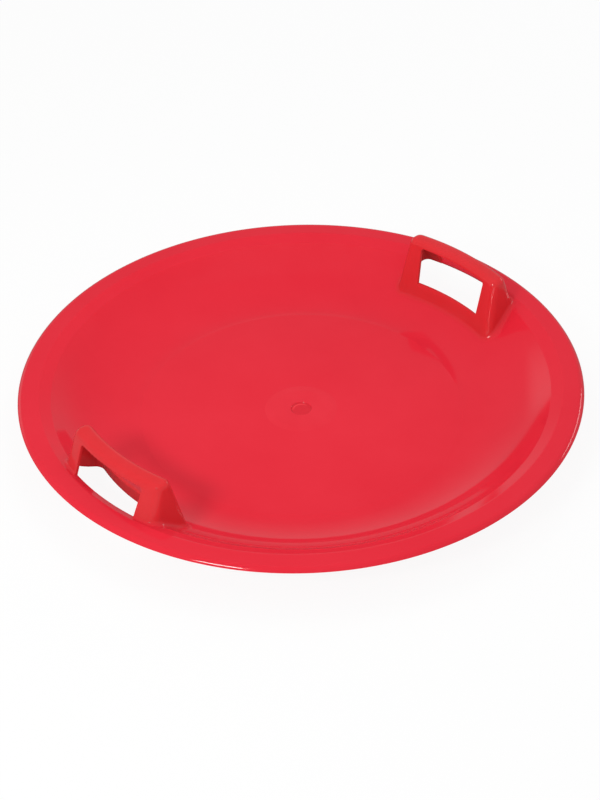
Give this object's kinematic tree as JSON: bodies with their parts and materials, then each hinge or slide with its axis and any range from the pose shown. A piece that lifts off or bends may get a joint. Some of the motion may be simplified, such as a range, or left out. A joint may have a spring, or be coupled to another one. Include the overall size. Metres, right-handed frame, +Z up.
{
  "type": "saucer sled",
  "caption": "Round moulded saucer sled with a flat floor, sloped side, turned-out rim and an arched hand grip with a finger opening on either side.",
  "frame": {"origin": "centre of the floor's underside, on the ground", "axes": "+Z up along the dish's axis, +X towards the right hand grip, +Y to the rear"},
  "size_m": [0.6599, 0.6599, 0.0908],
  "materials": {
    "red_plastic": "smooth gloss, moulded in colour"
  },
  "bodies": {
    "root": {"floor_disc": "red_plastic", "gate_pad": "red_plastic", "floor_band": "red_plastic", "wall_foot": "red_plastic", "side_wall": "red_plastic", "rim": "red_plastic", "right_grip_bar": "red_plastic", "right_sill_panel": "red_plastic", "right_front_post": "red_plastic", "right_rear_post": "red_plastic", "left_grip_bar": "red_plastic", "left_sill_panel": "red_plastic", "left_front_post": "red_plastic", "left_rear_post": "red_plastic"}
  },
  "joints": []
}
